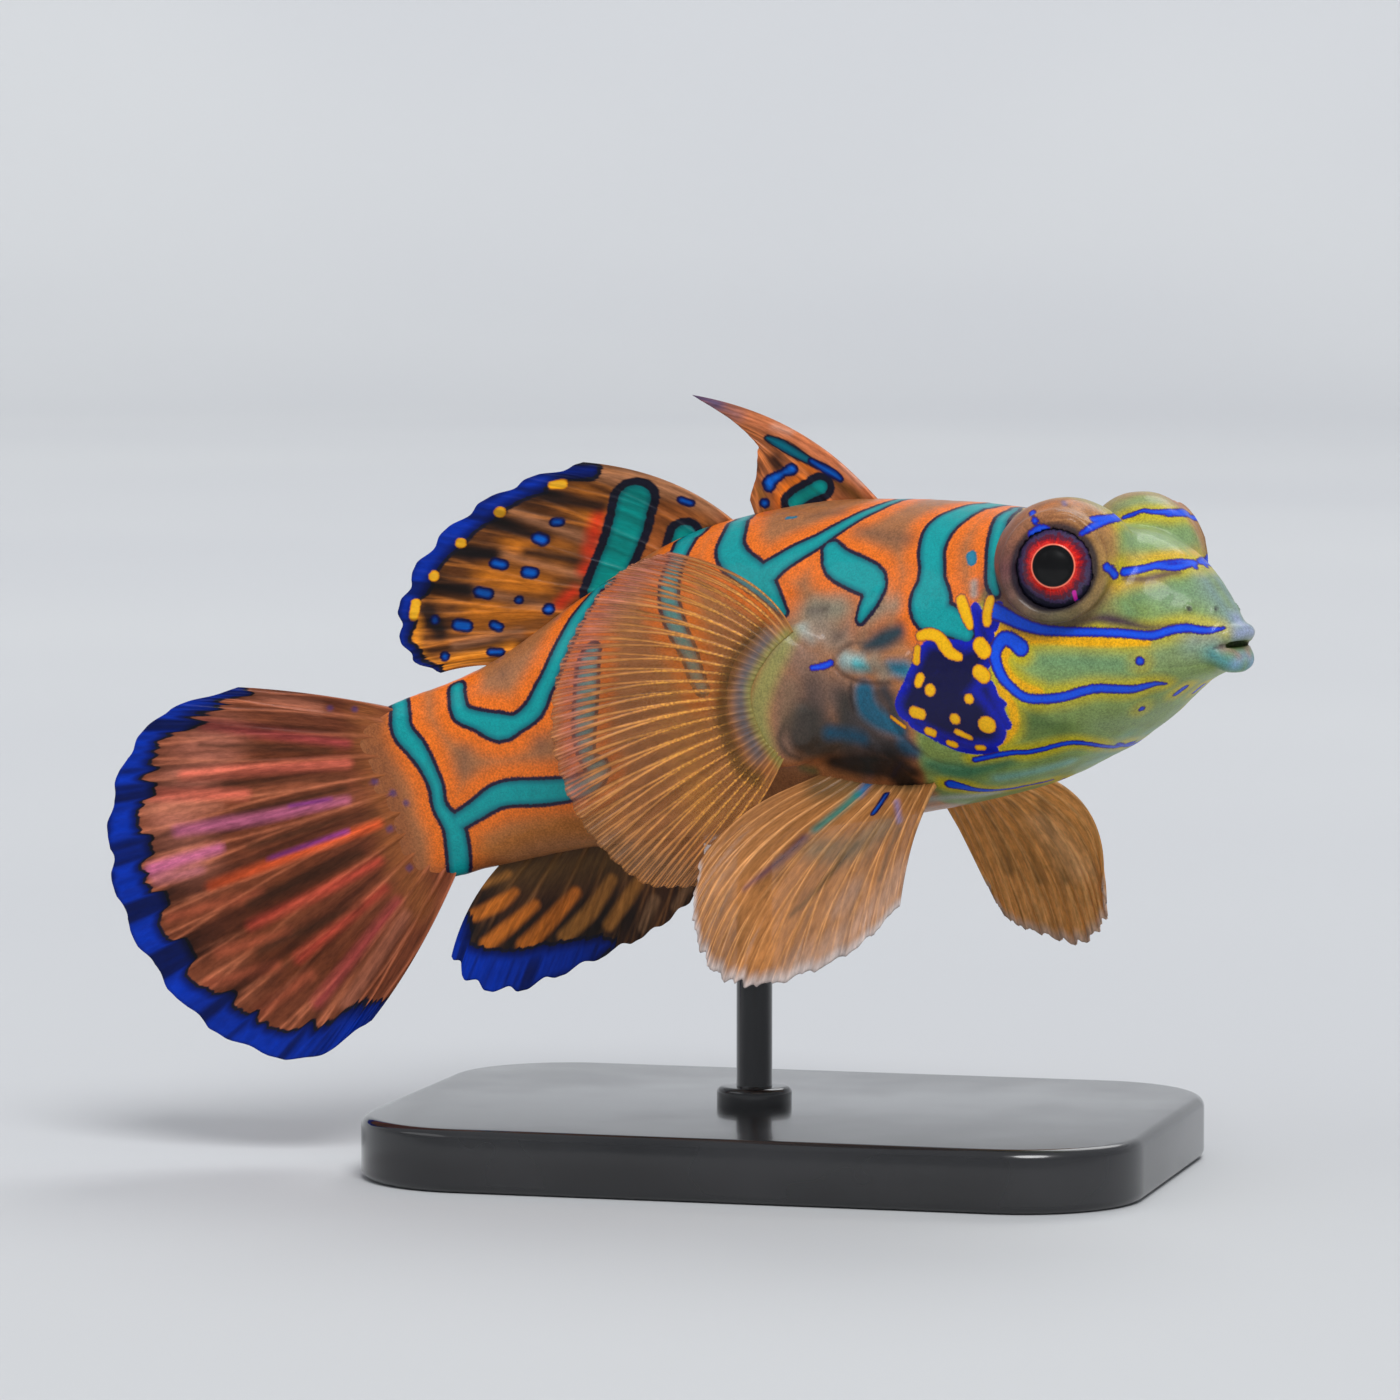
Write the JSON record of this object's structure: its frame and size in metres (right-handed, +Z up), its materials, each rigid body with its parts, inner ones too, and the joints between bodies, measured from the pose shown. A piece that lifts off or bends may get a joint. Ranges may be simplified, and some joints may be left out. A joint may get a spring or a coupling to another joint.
{
  "type": "mandarinfish display model",
  "caption": "Life-size still model of a mandarinfish swimming with its fins spread, held up by one rod on a plain flat base.",
  "frame": {"origin": "the middle of the stand's flat underside", "axes": "+Z up, +X the way the fish swims, +Y towards the fish's left"},
  "size_m": [0.0655, 0.0317, 0.043],
  "materials": {
    "body_skin": "orange skin with blue-green bands, satin and moist",
    "face_skin": "yellow-green skin with blue lines, satin and moist",
    "blue_fin": "fin web with a blue margin and orange between the rays",
    "clear_fin": "thin, part clear, orange-brown fin web with fine rays",
    "eye": "wet, glossy eye with a red iris",
    "stand": "plain black acrylic"
  },
  "bodies": {
    "root": {"head": "face_skin", "trunk": "body_skin", "tail_stalk": "body_skin", "eye_left": "eye", "eye_right": "eye", "dorsal_fin_first": "body_skin", "dorsal_fin_second": "blue_fin", "anal_fin": "blue_fin", "caudal_fin": "blue_fin", "pectoral_fin_left": "clear_fin", "pectoral_fin_right": "clear_fin", "pelvic_fin_left": "clear_fin", "pelvic_fin_right": "clear_fin", "stand_base": "stand", "stand_rod": "stand"}
  },
  "joints": []
}
